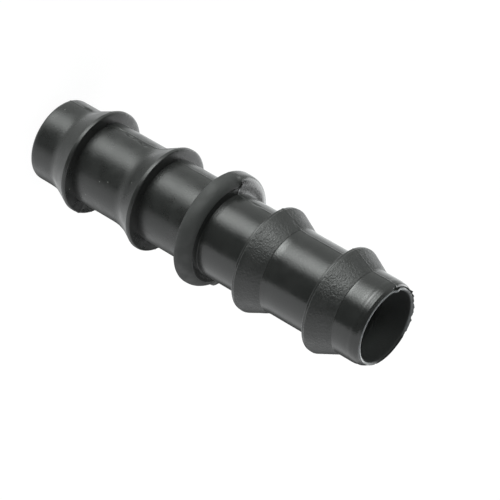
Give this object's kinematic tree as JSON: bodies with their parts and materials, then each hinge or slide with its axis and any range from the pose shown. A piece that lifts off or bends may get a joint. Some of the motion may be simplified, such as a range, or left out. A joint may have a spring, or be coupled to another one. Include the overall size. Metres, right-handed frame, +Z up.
{
  "type": "pipe connector",
  "caption": "Straight in-line pipe connector moulded in one piece: a black plastic tube with sloped barbs on both spigots, a rounded stop collar between them and an open bore",
  "frame": {"origin": "centre of the lower end face, which the connector stands on", "axes": "+Z up along the pipe axis; X lies in the plane where the mould halves met, so the fine parting ridges are on +X and -X"},
  "size_m": [0.0174, 0.0172, 0.06],
  "materials": {
    "black_plastic": "satin"
  },
  "bodies": {
    "root": {"connector_body": "black_plastic"}
  },
  "joints": []
}
